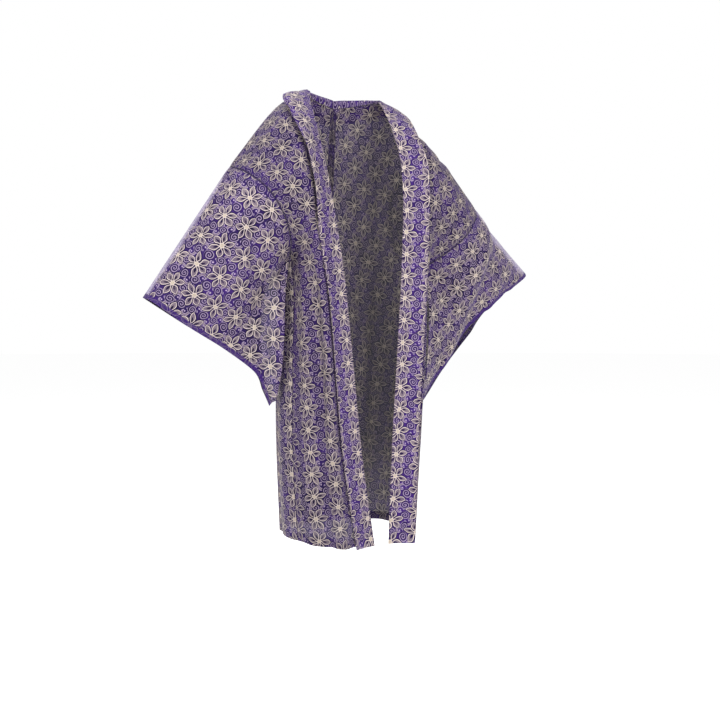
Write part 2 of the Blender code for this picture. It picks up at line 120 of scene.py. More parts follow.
# ---- soft upright folds of the body panels ----
# where across the panel, half width there, height of the ridge (valley when negative)
FRONT_FOLDS = ((0.42, 0.085, 0.009), (0.58, 0.075, -0.009), (0.80, 0.085, 0.007))
BACK_FOLDS = ((0.22, 0.09, -0.007), (0.42, 0.09, 0.008), (0.62, 0.09, -0.009), (0.80, 0.08, 0.008))
FOLD_START = 0.22  # distance below the neck where folds begin
FOLD_FULL = 0.60  # distance below the neck where they have their full height

# ---- sleeves ----
# One row for each level down the sleeve, on its body side below the armhole (furi) and
# along the cuff: "out", y and z of the front layer, then of the back layer ...
RIGHT_FURI = (
    (0.166, -0.008, -0.375, 0.170, 0.044, -0.375),
    (0.181, -0.022, -0.450, 0.186, 0.078, -0.440),
    (0.184, -0.022, -0.540, 0.187, 0.100, -0.530),
    (0.186, -0.012, -0.620, 0.187, 0.080, -0.610),
    (0.188, 0.016, -0.684, 0.188, 0.036, -0.684),
)
LEFT_FURI = (
    (0.172, -0.006, -0.390, 0.176, 0.046, -0.390),
    (0.188, -0.018, -0.460, 0.190, 0.080, -0.450),
    (0.190, -0.016, -0.545, 0.190, 0.102, -0.535),
    (0.190, -0.006, -0.625, 0.190, 0.084, -0.615),
    (0.190, 0.020, -0.682, 0.190, 0.042, -0.682),
)
# ... and for the cuff first its level, from 0 at the top of the cuff to 1 at its foot
RIGHT_CUFF = (
    (0.00, 0.472, 0.046, -0.464, 0.472, 0.046, -0.464),
    (0.05, 0.462, 0.012, -0.474, 0.448, 0.078, -0.472),
    (0.25, 0.394, 0.000, -0.522, 0.374, 0.076, -0.518),
    (0.47, 0.308, 0.006, -0.572, 0.294, 0.060, -0.568),
    (0.70, 0.234, 0.022, -0.622, 0.226, 0.048, -0.620),
    (0.85, 0.212, 0.030, -0.660, 0.204, 0.052, -0.662),
    (1.00, 0.192, 0.042, -0.696, 0.192, 0.042, -0.696),
)
LEFT_CUFF = (
    (0.00, 0.566, 0.076, -0.382, 0.566, 0.076, -0.382),
    (0.05, 0.530, 0.044, -0.398, 0.554, 0.096, -0.400),
    (0.25, 0.430, 0.026, -0.456, 0.466, 0.096, -0.464),
    (0.47, 0.342, 0.028, -0.532, 0.374, 0.088, -0.544),
    (0.70, 0.276, 0.034, -0.612, 0.304, 0.076, -0.624),
    (0.85, 0.240, 0.042, -0.658, 0.262, 0.070, -0.668),
    (1.00, 0.222, 0.052, -0.700, 0.222, 0.052, -0.700),
)
ARMHOLE_SHARE = 0.47  # share of a sleeve's depth that is sewn to the body
UNDERARM_CLEAR = 0.0020  # further gap to the side of the body below the armhole
GUSSET_SWELL = 0.10  # a gusset swells out by this share of its width
SLEEVE_BELLY = 0.012  # each layer bulges this far between armhole and cuff
# Folds of a sleeve's layers: share of the way from armhole to cuff at the arm line,
# how much further out for each unit of depth, half width, height (valley negative).
RIGHT_SLEEVE_FOLDS = ((0.26, 0.25, 0.13, -0.006), (0.58, 0.10, 0.13, 0.006))
LEFT_SLEEVE_FOLDS = ((0.02, 1.20, 0.11, 0.010), (0.26, 1.20, 0.13, -0.016))
FOLD_FREE = 0.22  # share of the sleeve next to the armhole where folds grow

# ---- collar ----
NAPE_ROW = 3  # row of the back tables at the middle of the nape, a corner
NECK_MIDDLE_Y = 0.02  # the band spreads away from this point of the middle plane
SEAM_RISE = 0.0013  # the collar's seam edge above the neckline
SEAM_ASIDE = 0.0013  # and this far inside it
# At the neck points and at the middle of the nape: the height of the collar's fold
# above the neckline, how far out the band reaches, and how high its edge ends.
NECK_FORM = {"rise": 0.008, "spread": 0.052, "end": -0.018}
NAPE_FORM = {"rise": 0.020, "spread": 0.036, "end": -0.030}
HOLLOW_LIFT = 0.016  # the band stands off the chest this much more near the top
HOLLOW_END = 0.36  # and lies flat from this far down
LEAST_SLANT = 0.6  # sine of the sharpest angle allowed between seam and row
CHEST_DROP = 0.05  # below this the band lies in front of the chest

# ---- what the shells add to the solids (metres) ----
HEM_DEPTH = 0.018  # turned hem at the foot of the body and the gussets
CUFF_HEM_DEPTH = 0.013  # turned hem round each cuff
ALLOWANCE = 0.012  # seam allowance pressed to one side
TURN_DROP = 0.0012  # a turned edge lies this far inside the cloth
TURN_SHARES = (0.0, 0.12, 0.35, 0.7, 1.0)  # of its depth, where its columns lie
SEAM_SINK = 0.0018  # cloth dips this much along a seam
SEAM_SINK_WIDTH = 0.007
STEADY_FRONT = 0.03  # creases fade out this near to the long edges of a front
STEADY_BACK = 0.02  # and of a back, so that neighbours still meet
STEADY_SHOULDER = 0.05  # and this near to the shoulder line
STEADY_SLEEVE = 0.12  # share of a sleeve's length and depth where they fade out
TUCK_REACH = 0.0030  # a gusset's edges run this far under the body's
TUCK_DEPTH = 0.0030
UNFOLD_ROUNDS = 40  # rounds in which the unfolding lessens the stretch

# ---- what the cloth's material reads ----
FLAT_MAP = "flat_cloth"  # places on the flat cloth
MARK_MAP = "marks"  # distance from a free fold, and from a seam
FAR_MARK = (1.0, 1.0)  # far from any free fold and any seam
CUFF_MARK = 10.0  # the seam mark at a cuff's edge, less the distance from it
CUFF_MARK_REACH = 0.05  # where seam marks tell the distance from the cuff
# Where each sleeve's upper edge shows one layer, painted pale as light shining through it:
# how far in front of its top fold that strip starts at the shoulder, and how narrow it is
FREE_LINES = {"right": (-0.008, 1.0), "left": (0.060, 0.6)}
STRIP_START = 0.012  # the pale strip fades in from the armhole
STRIP_START_REACH = 0.2  # over this share of the sleeve
BACK_STRIP = 0.6  # narrowness on the back layer, which shows through the front

# ---- creases ----
# Flat coordinates (u across the cloth, v along it) of both ends, how far the middle bows
# aside, half width, height (negative for a trough).
CREASE_OVERRUN = 0.1  # a crease fades out past its ends over this share of it
CREASE_WAVER = 0.0018  # and wavers aside by this much
FRONT_CREASES = {
    "right": (
        (0.150, 0.20, 0.135, 0.62, 0.006, 0.012, -0.0035),
        (0.175, 0.30, 0.170, 0.90, -0.004, 0.011, 0.0030),
        (0.200, 0.34, 0.205, 0.78, 0.005, 0.013, -0.0030),
        (0.160, 0.70, 0.185, 1.02, 0.004, 0.012, -0.0028),
        (0.235, 0.02, 0.210, 0.20, 0.010, 0.014, -0.0040),
        (0.180, 0.04, 0.165, 0.24, 0.008, 0.012, 0.0030),
        (0.300, 0.10, 0.225, 0.28, 0.008, 0.010, -0.0035),
        (0.130, 0.55, 0.140, 0.95, -0.004, 0.010, 0.0022),
    ),
    "left": (
        (0.145, 0.22, 0.140, 0.66, -0.006, 0.012, -0.0035),
        (0.170, 0.32, 0.165, 0.94, 0.004, 0.011, 0.0030),
        (0.190, 0.40, 0.185, 0.80, -0.005, 0.012, -0.0028),
        (0.150, 0.74, 0.165, 1.02, -0.004, 0.012, -0.0026),
        (0.260, 0.03, 0.215, 0.24, 0.010, 0.014, -0.0040),
        (0.200, 0.05, 0.180, 0.26, 0.008, 0.013, 0.0032),
        (0.320, 0.08, 0.235, 0.30, 0.009, 0.011, -0.0035),
    ),
}
BACK_CREASES = {
    "right": (
        (0.060, 0.22, 0.055, 0.90, 0.006, 0.014, -0.0035),
        (0.105, 0.12, 0.110, 0.80, -0.005, 0.013, 0.0034),
        (0.150, 0.16, 0.145, 0.74, 0.006, 0.014, -0.0038),
        (0.240, 0.06, 0.185, 0.34, 0.012, 0.013, -0.0040),
        (0.200, 0.05, 0.160, 0.30, 0.010, 0.013, 0.0034),
        (0.085, 0.60, 0.095, 1.00, 0.004, 0.012, -0.0030),
        (0.130, 0.66, 0.140, 1.00, -0.004, 0.011, 0.0026),
    ),
    "left": (
        (0.055, 0.26, 0.060, 0.88, -0.006, 0.014, -0.0034),
        (0.110, 0.14, 0.105, 0.84, 0.005, 0.013, 0.0036),
        (0.150, 0.18, 0.150, 0.70, -0.006, 0.014, -0.0036),
        (0.265, 0.06, 0.195, 0.36, 0.012, 0.013, -0.0040),
        (0.215, 0.05, 0.165, 0.32, 0.010, 0.013, 0.0034),
        (0.080, 0.62, 0.090, 1.00, -0.004, 0.012, -0.0028),
    ),
}
# u from the armhole along the arm, v down from the top fold, negative on the back layer
SLEEVE_CREASES = {
    "right": (
        (0.030, 0.050, 0.200, 0.180, 0.010, 0.012, -0.0040),
        (0.050, 0.120, 0.180, 0.330, -0.012, 0.014, 0.0040),
        (0.100, 0.050, 0.300, 0.140, 0.008, 0.012, -0.0032),
        (0.020, 0.170, 0.110, 0.400, 0.012, 0.013, -0.0042),
        (0.180, 0.200, 0.310, 0.240, 0.006, 0.012, 0.0030),
        (0.120, 0.260, 0.230, 0.340, 0.008, 0.011, -0.0032),
        (0.030, -0.050, 0.210, -0.200, 0.010, 0.013, -0.0042),
        (0.060, -0.120, 0.170, -0.340, 0.010, 0.014, 0.0042),
        (0.120, -0.060, 0.310, -0.150, 0.008, 0.012, -0.0034),
        (0.020, -0.180, 0.100, -0.400, 0.012, 0.013, -0.0040),
    ),
    "left": (
        (0.030, 0.050, 0.180, 0.200, 0.010, 0.012, -0.0040),
        (0.060, 0.110, 0.150, 0.340, -0.012, 0.014, 0.0042),
        (0.110, 0.050, 0.290, 0.150, 0.008, 0.012, -0.0034),
        (0.150, 0.120, 0.240, 0.290, 0.010, 0.013, -0.0040),
        (0.000, 0.150, 0.115, 0.216, 0.000, 0.008, -0.0060),
        (0.020, 0.180, 0.090, 0.400, 0.010, 0.013, -0.0042),
        (0.030, -0.050, 0.220, -0.190, 0.010, 0.013, -0.0042),
        (0.070, -0.120, 0.180, -0.330, 0.010, 0.014, 0.0042),
        (0.130, -0.060, 0.310, -0.160, 0.008, 0.012, -0.0034),
    ),
}


# ---- lofts, as in the part's source ----
def curve_at(points, position):
    """Point at position 0..1 on a smooth curve through evenly counted points."""
    spans = len(points) - 1
    scaled = min(max(position, 0.0), 1.0) * spans
    index = min(int(scaled), spans - 1)
    f = scaled - index
    p1 = points[index]
    p2 = points[index + 1]
    p0 = points[index - 1] if index > 0 else p1 * 2 - p2
    p3 = points[index + 2] if index + 2 <= spans else p2 * 2 - p1
    ease = (p2 - p0) * 0.5
    leave = (p3 - p1) * 0.5
    return (p1 * (2 * f ** 3 - 3 * f ** 2 + 1) + ease * (f ** 3 - 2 * f ** 2 + f)
            + p2 * (3 * f ** 2 - 2 * f ** 3) + leave * (f ** 3 - f ** 2))


def cornered_curve(points, corner, position):
    """Like curve_at, but the curve may turn sharply at the point numbered corner."""
    scaled = position * (len(points) - 1)
    if scaled <= corner:
        return curve_at(points[:corner + 1], scaled / corner)
    return curve_at(points[corner:], (scaled - corner) / (len(points) - 1 - corner))


def table_points(table, first, side):
    """Points from the columns first, first + 1 and first + 2 of a table; side is -1 for
    right and +1 for left."""
    return [Vector((row[first] * side, row[first + 1], row[first + 2])) for row in table]


def section_rows(table, side, steps, corner=None):
    """Sections interpolated down the table, each one three points across."""
    inner, middle, edge = [table_points(table, first, side) for first in (0, 3, 6)]
    sections = []
    for i in range(steps + 1):
        share = i / steps
        edge_point = cornered_curve(inner, corner, share) if corner else curve_at(inner, share)
        sections.append((edge_point, curve_at(middle, share), curve_at(edge, share)))
    return sections


def half_panel(table, side, corner=None):
    """Rows of points from the shoulder line down to one hem, evenly counted across."""
    upper = section_rows(table[:UNDERARM_ROW + 1], side, ARMHOLE_STEPS, corner)
    lower = section_rows(table[UNDERARM_ROW:], side, SIDE_STEPS)
    return [[curve_at(section, j / PANEL_STEPS) for j in range(PANEL_STEPS + 1)]
            for section in upper + lower[1:]]


def smooth_ramp(value, start, end):
    """0 up to start, 1 from end on, and an eased step between."""
    f = min(max((value - start) / (end - start), 0.0), 1.0)
    return f * f * (3.0 - 2.0 * f)


def bump(offset, half_width):
    return math.exp(-(offset / half_width) ** 2)


def outward_normals(grid, outward):
    """Normal at each grid point; outward is the sign that turns them out of the garment."""
    last = len(grid) - 1
    normals = []
    for i, row in enumerate(grid):
        line = []
        for j in range(len(row)):
            along = grid[min(i + 1, last)][j] - grid[max(i - 1, 0)][j]
            over = row[min(j + 1, len(row) - 1)] - row[max(j - 1, 0)]
            line.append(along.cross(over).normalized() * outward)
        normals.append(line)
    return normals


def raised(grid, normals, heights):
    return [[p + n * h for p, n, h in zip(*rows)] for rows in zip(grid, normals, heights)]


def fold_height(share, drop, folds):
    grown = smooth_ramp(drop, FOLD_START, FOLD_FULL)
    return grown * sum(height * bump(share - place, width) for place, width, height in folds)


def add_folds(grid, folds, outward):
    """Moves each point along the outward normal by the folds' height."""
    heights = [[fold_height(j / PANEL_STEPS, -point.z, folds) for j, point in enumerate(row)]
               for row in grid]
    return raised(grid, outward_normals(grid, outward), heights)


def body_grids(front_table, back_table, side):
    """Front and back halves of one panel, both from the shoulder line down."""
    return (add_folds(half_panel(front_table, side), FRONT_FOLDS, side),
            add_folds(half_panel(back_table, side, NAPE_ROW), BACK_FOLDS, -side))


def shifted_to_side(point, side):
    """Keeps a point on its own side of the middle, half a seam gap out."""
    out = max(point.x * side, 0.0) if point.y > 0.0 else point.x * side
    return Vector((side * (out + SEAM_GAP / 2.0), point.y, point.z))


def panel_grid(front, back, side):
    """The whole length: front hem, shoulder line, back hem."""
    return [[shifted_to_side(point, side) for point in row] for row in front[::-1] + back[1:]]


def gusset_grid(front, back, side):
    """Strip between the side edges of front and back, underarm to hem."""
    rows = []
    for front_row, back_row in zip(front[ARMHOLE_STEPS:], back[ARMHOLE_STEPS:]):
        run = back_row[-1] - front_row[-1]
        inset = run.normalized() * SEAM_GAP
        first = front_row[-1] + inset
        last = back_row[-1] - inset
        swell = Vector((side * run.length * GUSSET_SWELL, 0.0, 0.0))
        row = []
        for j in range(GUSSET_STEPS + 1):
            f = j / GUSSET_STEPS
            row.append(first.lerp(last, f) + swell * math.sin(math.pi * f))
        rows.append([shifted_to_side(point, side) for point in row])
    return rows


def armhole_edges(front, back, furi, side):
    """A sleeve's front and back edges at the body: the armhole, then the open furi."""
    edges = []
    for half, first in ((front, 0), (back, 3)):
        low = table_points(furi, first, side)
        edges.append([row[-1] for row in half[:ARMHOLE_STEPS + 1]]
                     + [curve_at(low, i / FURI_STEPS) for i in range(1, FURI_STEPS + 1)])
    fold = edges[0][-1].lerp(edges[1][-1], 0.5)
    return [edge + [fold] for edge in edges]


def cuff_edges(cuff, side):
    """A sleeve's front and back edges at the cuff, with as many points as at the body."""
    open_steps = FURI_STEPS + 1
    levels = [ARMHOLE_SHARE * i / ARMHOLE_STEPS for i in range(ARMHOLE_STEPS + 1)]
    levels += [ARMHOLE_SHARE + (1.0 - ARMHOLE_SHARE) * i / open_steps
               for i in range(1, open_steps + 1)]
    known = [row[0] for row in cuff]
    edges = []
    for first in (1, 4):
        points = table_points(cuff, first, side)
        edge = []
        for level in levels:
            index = max(i for i in range(len(known) - 1) if known[i] <= level)
            local = (level - known[index]) / (known[index + 1] - known[index])
            edge.append(curve_at(points, (index + min(local, 1.0)) / (len(points) - 1)))
        edges.append(edge)
    return edges


def ring_from_layers(front, back):
    """Closed ring: down the front layer and up the back layer."""
    return front + back[-2:0:-1]


def sleeve_fold(f, depth_share, folds):
    grown = smooth_ramp(f, 0.0, FOLD_FREE) * math.sin(math.pi * depth_share)
    total = 0.0
    for start, slope, half_width, height in folds:
        total += height * bump(f - start - slope * depth_share, half_width)
    return grown * total


def sleeve_grid(front, back, furi, cuff, folds, side):
    """Rings from the armhole to the cuff, each a closed loop of points."""
    start = ring_from_layers(*armhole_edges(front, back, furi, side))
    end = ring_from_layers(*cuff_edges(cuff, side))
    foot = len(start) // 2
    rings = []
    for k in range(SLEEVE_STEPS + 1):
        f = k / SLEEVE_STEPS
        ring = []
        for index, (near, far) in enumerate(zip(start, end)):
            on_front = index <= foot
            depth = index if on_front else 2 * foot - index
            first = near + (far - near).normalized() * SEAM_GAP
            if depth >= ARMHOLE_STEPS:
                first.x += side * UNDERARM_CLEAR
            depth_share = depth / foot
            rise = SLEEVE_BELLY * math.sin(math.pi * depth_share) * math.sin(math.pi * f)
            rise += sleeve_fold(f, depth_share, folds)
            point = first.lerp(far, f) + Vector((0.0, -rise if on_front else rise, 0.0))
            ring.append(shifted_to_side(point, side))
        rings.append(ring)
    return rings


def point_along(row, distance):
    """Point at a distance from the inner edge of a panel row."""
    left = distance
    for a, b in zip(row, row[1:]):
        length = (b - a).length
        if left <= length:
            return a.lerp(b, left / length)
        left -= length
    return row[-1]


def chest_section(grid, i, side):
    """Collar section over one row of a front panel, from its seam to its outer edge."""
    row = grid[i]
    above = grid[max(i - 1, 0)][0]
    below = grid[min(i + 1, len(grid) - 1)][0]
    edge = row[0]
    run = (row[1] - edge).normalized()
    seam = (above - below).normalized()
    slant = max(run.cross(seam).length, LEAST_SLANT)
    normal = seam.cross(run).normalized() * -side
    if normal.y > 0.0 and edge.z < -CHEST_DROP:
        normal = -normal
    hollow = HOLLOW_LIFT * (1.0 - smooth_ramp(-edge.z, 0.0, HOLLOW_END))
    section = [edge - run * SEAM_ASIDE + normal * SEAM_RISE * 0.4,
               edge - run * COLLAR_REACH * 0.8 + normal * SEAM_RISE * 0.6]
    for j in range(COLLAR_STEPS + 1):
        f = j / COLLAR_STEPS
        reach = COLLAR_WIDTH * f - COLLAR_REACH
        base = edge + run * reach if reach < 0.0 else point_along(row, reach / slant)
        lift = COLLAR_LIFT * (0.6 + 0.4 * f) + hollow * math.sin(0.5 * math.pi * f)
        section.append(base + normal * lift)
    if i == len(grid) - 1:
        overhang = (edge - above).normalized() * COLLAR_OVERHANG
        section = [point + overhang for point in section]
    return section


def nape_section(edge, share):
    """Collar section round the back of the neck, from its seam to its outer edge; share
    runs from 0 at a neck point to 1 at the middle of the nape."""
    away = Vector((edge.x, edge.y - NECK_MIDDLE_Y, 0.0)).normalized()
    up = Vector((0.0, 0.0, 1.0))
    blend = smooth_ramp(share, 0.0, 1.0)
    form = {key: NECK_FORM[key] + (NAPE_FORM[key] - NECK_FORM[key]) * blend for key in NECK_FORM}
    section = [edge + up * SEAM_RISE - away * SEAM_ASIDE,
               edge + up * form["rise"] * 0.6 - away * 0.004]
    for j in range(COLLAR_STEPS + 1):
        g = j / COLLAR_STEPS
        height = form["rise"] + (form["end"] - form["rise"]) * g ** 1.8
        section.append(edge + away * (form["spread"] * g - 0.002) + up * height)
    return section


# ---- flat coordinates of the cloth ----
def added_object(name, data):
    """A new object, linked to the scene."""
    item = bpy.data.objects.new(name, data)
    bpy.context.scene.collection.objects.link(item)
    return item


def running_lengths(points):
    """Distance along a line of points, from its first one."""
    lengths = [0.0]
    for a, b in zip(points, points[1:]):
        lengths.append(lengths[-1] + (b - a).length)
    return lengths


def body_flat(front, back):
    """Flat coordinates of a half panel each: u from the centre back, v from the shoulder."""
    flats = []
    for half, sign in ((front, 1.0), (back, -1.0)):
        columns = [running_lengths(column) for column in zip(*half)]
        flat = []
        for i, row in enumerate(half):
            start = abs(front[0][0].x if half is front else row[0].x)
            flat.append([(start + place, sign * columns[j][i])
                         for j, place in enumerate(running_lengths(row))])
        flats.append(flat)
    return flats


def sleeve_flat(rings):
    """First guess of a sleeve's flat coordinates: u along the arm, v down from the top
    fold. The rings run from the foot up the back layer and down the front layer."""
    turn = len(rings[0]) // 2
    top = rings[0][turn]
    arm = (rings[-1][turn] - top).normalized()
    low = rings[-1][-1] - rings[-1][turn]
    down = (low - arm * low.dot(arm)).normalized()
    return [[((point - top).dot(arm), (point - top).dot(down) * (1.0 if j >= turn else -1.0))
             for j, point in enumerate(ring)] for ring in rings]


def cells(grid):
    """The places (row, column) of the corners of each face of a grid."""
    return [((i, j), (i, j + 1), (i + 1, j + 1), (i + 1, j))
            for i in range(len(grid) - 1) for j in range(len(grid[0]) - 1)]


def laid_over(found, wanted):
    """Turns, scales and shifts the found flat places so that they fit the wanted ones."""
    mean_wanted = sum(wanted) / len(wanted)
    best = None
    for trial in (found, [z.conjugate() for z in found]):
        mean_found = sum(trial) / len(trial)
        factor = (sum((w - mean_wanted) * (z - mean_found).conjugate()
                      for z, w in zip(trial, wanted))
                  / sum(abs(z - mean_found) ** 2 for z in trial))
        laid = [(z - mean_found) * factor + mean_wanted for z in trial]
        miss = sum(abs(z - w) ** 2 for z, w in zip(laid, wanted))
        if best is None or miss < best[0]:
            best = (miss, laid)
    return best[1]


def filled_in(values):
    """A list with FINE - 1 values put evenly between each two."""
    shares = [k / FINE for k in range(FINE)]
    pairs = zip(values, values[1:])
    return [a * (1.0 - f) + b * f for a, b in pairs for f in shares] + [values[-1]]


def unfolded(grid, guess):
    """Flat coordinates that stretch the cloth as little as can be, laid over the first
    guess. Every FINE-th row and column is unfolded and the rest lie between."""
    coarse = [row[::FINE] for row in grid[::FINE]]
    width = len(coarse[0])
    points = [point for row in coarse for point in row]
    faces = [[i * width + j for i, j in corners] for corners in cells(coarse)]
    mesh = bpy.data.meshes.new("unfolding")
    mesh.from_pydata(points, [], faces)
    mesh.uv_layers.new(name=FLAT_MAP)
    piece = added_object("unfolding", mesh)
    bpy.context.view_layer.objects.active = piece
    bpy.ops.object.mode_set(mode="EDIT")
    bpy.ops.mesh.select_all(action="SELECT")
    bpy.ops.uv.unwrap(method="MINIMUM_STRETCH", margin=0.0, iterations=UNFOLD_ROUNDS)
    bpy.ops.object.mode_set(mode="OBJECT")
    layer = mesh.uv_layers[FLAT_MAP]
    found = [0j] * len(points)
    for loop in mesh.loops:
        found[loop.vertex_index] = complex(*layer.data[loop.index].uv)
    bpy.data.objects.remove(piece, do_unlink=True)
    wanted = [complex(*place) for row in guess[::FINE] for place in row[::FINE]]
    laid = laid_over(found, wanted)
    rows = [filled_in(laid[first:first + width]) for first in range(0, len(laid), width)]
    columns = [filled_in(column) for column in zip(*rows)]
    return [[(z.real, z.imag) for z in row] for row in zip(*columns)]


# ---- creases and seams ----
def crease_height(u, v, creases):
    """Height of all creases at a flat place, each a soft ridge or trough with a lip."""
    total = 0.0
    for u0, v0, u1, v1, bow, half_width, height in creases:
        run_u = u1 - u0
        run_v = v1 - v0
        length = math.hypot(run_u, run_v)
        along = ((u - u0) * run_u + (v - v0) * run_v) / length ** 2
        if not -CREASE_OVERRUN < along < 1.0 + CREASE_OVERRUN:
            continue
        aside = ((u - u0) * run_v - (v - v0) * run_u) / length
        aside -= bow * 4.0 * along * (1.0 - along)
        aside -= CREASE_WAVER * math.sin(23.0 * along * length / 0.3 + 40.0 * u0)
        offset = aside / (half_width * (0.75 + 0.5 * along))
        if abs(offset) > 3.0:
            continue
        taper = smooth_ramp(along, -CREASE_OVERRUN, 0.30)
        taper *= 1.0 - smooth_ramp(along, 0.65, 1.0 + CREASE_OVERRUN)
        lip = 0.45 * math.exp(-(offset - 1.5) ** 2 * 1.5)
        uneven = 0.8 + 0.2 * math.sin(9.0 * along + 70.0 * u0)
        total += height * taper * uneven * (math.exp(-offset ** 2) - lip)
    return total


def seam_dip(distance):
    return -SEAM_SINK * math.exp(-(distance / SEAM_SINK_WIDTH) ** 2)


# ---- meshes ----
def cloth_piece(name, sheets, cloth, marks=None):
    """One object from sheets of (grid, flat coordinates), a shell in its node's place.
    marks gives each point's distance from a free fold and from a seam."""
    mesh = bpy.data.meshes.new(name)
    form = bmesh.new()
    flat_layer = form.loops.layers.uv.new(FLAT_MAP)
    mark_layer = form.loops.layers.uv.new(MARK_MAP)
    for grid, flat in sheets:
        verts = [[form.verts.new(point) for point in row] for row in grid]
        for corners in cells(grid):
            face = form.faces.new([verts[i][j] for i, j in corners])
            for loop, (i, j) in zip(face.loops, corners):
                loop[flat_layer].uv = flat[i][j]
                loop[mark_layer].uv = marks[i][j] if marks else FAR_MARK
    form.to_mesh(mesh)
    form.free()
    mesh.materials.append(cloths[cloth])
    mesh.shade_smooth()
    piece = added_object(name, mesh)
    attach(piece, "root")
    if name.startswith("shell_"):
        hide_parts(name.removeprefix("shell_"))
    return piece


def turned_edge(grid, flat, normals, lines, depth):
    """Strip of cloth turned in along an edge: its grid and flat coordinates. Each line
    is a list of places (row, column) of the grid, from the edge inwards."""
    strip = []
    strip_flat = []
    for line in lines:
        points = [grid[i][j] for i, j in line]
        places = [Vector(flat[i][j]) for i, j in line]
        lengths = running_lengths(points)
        row = []
        row_flat = []
        for share in TURN_SHARES:
            distance = min(depth * share, lengths[-1])
            k = max(k for k in range(len(lengths) - 1) if lengths[k] <= distance)
            f = (distance - lengths[k]) / max(lengths[k + 1] - lengths[k], 1e-9)
            i, j = line[k]
            drop = TURN_DROP * (0.25 + 0.75 * smooth_ramp(share, 0.0, 0.25))
            row.append(points[k].lerp(points[k + 1], f) - normals[i][j] * drop)
            row_flat.append(places[0] * 2.0 - places[k].lerp(places[k + 1], f))
        strip.append(row)
        strip_flat.append(row_flat)
    return strip, strip_flat


def hem_lines(grid, at_start=False):
    """Lines for turned_edge along the last row of a grid, or along its first row."""
    rows = range(HEM_ROWS) if at_start else range(-1, -1 - HEM_ROWS, -1)
    return [[(i, j) for i in rows] for j in range(len(grid[0]))]


# ---- the cloth's pattern, in millimetres ----
COLUMN_PITCH = 55.0  # between columns of flowers, across the cloth
FLOWER_PITCH = 49.0  # between flowers in a column, along the cloth
PETALS = 6
PETAL_START = 4.0  # distance from the flower's middle
PETAL_END = 24.5
PETAL_HALF_WIDTH = 5.9
LENGTH_VARY = 1.3  # petals differ a little in length and width
WIDTH_VARY = -0.5
FLOWER_TURN = 0.22  # flowers turn by up to this angle, in radians
SLIT_START = 6.0  # the slit in each petal
SLIT_LENGTH = 11.5
SLIT_HALF_WIDTH = 1.9
OUTLINE = 1.10  # line round a petal
THIN_OUTLINE = 0.9  # line round a heart and round a leaf
HEART_RADIUS = 4.6
HALO = 1.7  # dark ground beside the motifs
CURL_PLACE = COLUMN_PITCH / 3.0  # curls lie here aside of a column, between its flowers
CURL_START = 3.6  # radius where a curl's leaf begins
CURL_GROWTH = 8.6  # and by how much it widens in one turn
BUD_RADIUS = 1.7
TENDRIL_RADIUS = 5.6
TENDRIL_HALF_WIDTH = 0.6
SPIRAL_RADIUS = 9.5  # a spiral fills the gap between two flowers of a column
SPIRAL_PITCH = 4.4
SPIRAL_HALF_WIDTH = 0.75
WARP = 8.0  # how far the pattern wanders, in all
WARP_SCALE = 0.030
EDGE_SOFTNESS = 0.35
SEAM_LINE = 2.0  # half the width of the painted shadow line in a seam
SEAM_BAND = ALLOWANCE * 1000.0  # the allowance behind it
CUFF_STRIPE = 10.0  # turned edge that shows plain along the cuff
WEAVE_TURNS = 2.0 * math.pi / 0.9  # one thread pair every 0.9 mm

# ---- colours, and shares of the light behind that the cloth hides ----
GROUND = (0.010, 0.004, 0.045)
GROUND_LIGHT = (0.042, 0.015, 0.140)
GROUND_DEEP = (0.003, 0.0015, 0.010)
PAINTED_BACKLIGHT = (0.56, 0.48, 0.72)
# SEAM_SHADE is painted shadow, laid along every seam
SEAM_SHADE = (0.010, 0.005, 0.035)
FILL = (0.088, 0.058, 0.112)
LINE = (0.720, 0.610, 0.560)
HEART = (0.700, 0.600, 0.440)
THREAD = (0.410, 0.310, 0.470)
SHEEN = (0.80, 0.72, 1.0)
SHADE_RANGE = (0.80, 1.12)  # brightness between thin and thick threads
THIN_SHARE = 0.55  # what one free layer hides
MOTIF_SHARE = 0.25  # how much more the motifs hide than the ground
MOST_SHARE = 0.98


def put(value, socket):
    """Gives a node's input a number or a colour, or links a term or an output to it."""
    if isinstance(value, Term):
        value = value.source
    if isinstance(value, (int, float)):
        socket.default_value = value
    elif isinstance(value, tuple):
        socket.default_value = (*value, 1.0)
    else:
        Term.tree.links.new(value, socket)


def put_all(node, values):
    for key, value in values.items():
        put(value, node.inputs[key])


def added(kind, *values, **settings):
    """A new node of the material, with values for its first inputs."""
    node = Term.tree.nodes.new("ShaderNode" + kind)
    for key, setting in settings.items():
        setattr(node, key, setting)
    for value, socket in zip(values, node.inputs):
        put(value, socket)
    return node


